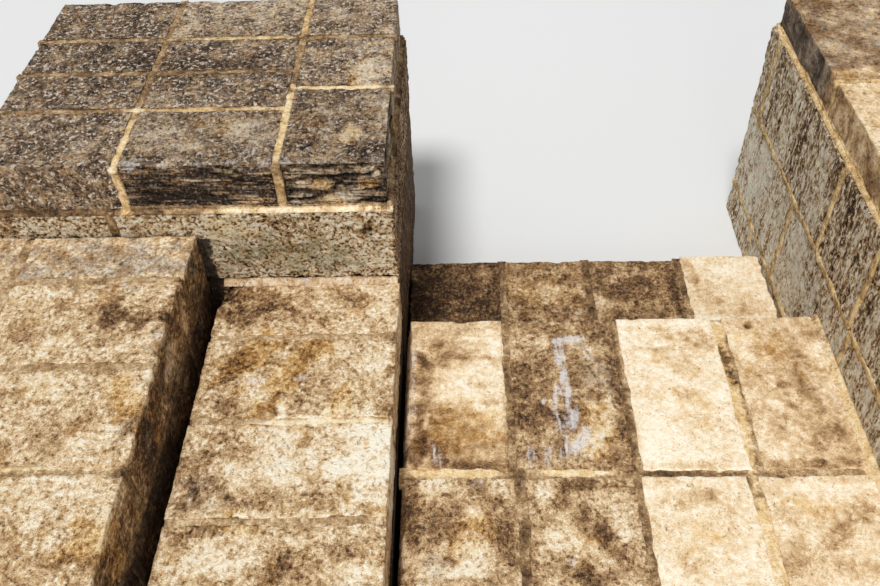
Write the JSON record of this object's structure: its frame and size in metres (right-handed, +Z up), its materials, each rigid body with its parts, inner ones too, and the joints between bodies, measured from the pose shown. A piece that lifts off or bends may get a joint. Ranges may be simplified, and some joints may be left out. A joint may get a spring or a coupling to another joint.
{
  "type": "outdoor stone steps",
  "caption": "Short flight of coursed limestone steps: landing and tread between a coped wall and a low wall with drain slot, capped pier and raised terrace.",
  "frame": {"origin": "centre of the plan box at ground level", "axes": "+X across the flight, from the terrace to the right wall; +Y down the flight; +Z up"},
  "size_m": [2.818, 1.686, 0.744],
  "materials": {
    "pale_limestone": "weathered dressed stone",
    "brown_limestone": "weathered dressed stone, stained",
    "weathered_limestone": "rough stone with lichen",
    "lime_mortar": "sandy lime mortar",
    "rubble_core": "rubble in mortar"
  },
  "bodies": {
    "root": {"tread_stone_1": "brown_limestone", "tread_stone_2": "brown_limestone", "tread_stone_3": "brown_limestone", "tread_stone_4": "brown_limestone", "tread_mortar": "lime_mortar", "landing_front_stone_1": "pale_limestone", "landing_front_stone_2": "pale_limestone", "landing_front_stone_3": "pale_limestone", "landing_front_stone_4": "pale_limestone", "landing_back_stone_1": "pale_limestone", "landing_back_stone_2": "pale_limestone", "landing_back_stone_3": "pale_limestone", "landing_back_stone_4": "pale_limestone", "landing_mortar": "lime_mortar", "landing_core": "rubble_core", "low_wall_cap_1": "pale_limestone", "low_wall_cap_2": "pale_limestone", "low_wall_cap_3": "pale_limestone", "low_wall_cap_4": "pale_limestone", "low_wall_course": "brown_limestone", "low_wall_footing": "brown_limestone", "low_wall_mortar": "lime_mortar", "drain_floor": "rubble_core", "pier_cap_front_inner": "weathered_limestone", "pier_cap_front_outer": "weathered_limestone", "pier_caps_inner": "weathered_limestone", "pier_caps_outer": "weathered_limestone", "pier_caps_end": "weathered_limestone", "pier_upper_course": "weathered_limestone", "pier_lower_course": "weathered_limestone", "pier_footing": "weathered_limestone", "pier_mortar": "lime_mortar", "terrace_slabs_inner": "pale_limestone", "terrace_slabs_outer": "pale_limestone", "terrace_course": "pale_limestone", "terrace_footing": "pale_limestone", "terrace_mortar": "lime_mortar", "right_wall_coping_inner": "weathered_limestone", "right_wall_coping_outer": "weathered_limestone", "right_wall_upper_course": "weathered_limestone", "right_wall_lower_course": "weathered_limestone", "right_wall_footing": "weathered_limestone", "right_wall_mortar": "lime_mortar"}
  },
  "joints": []
}
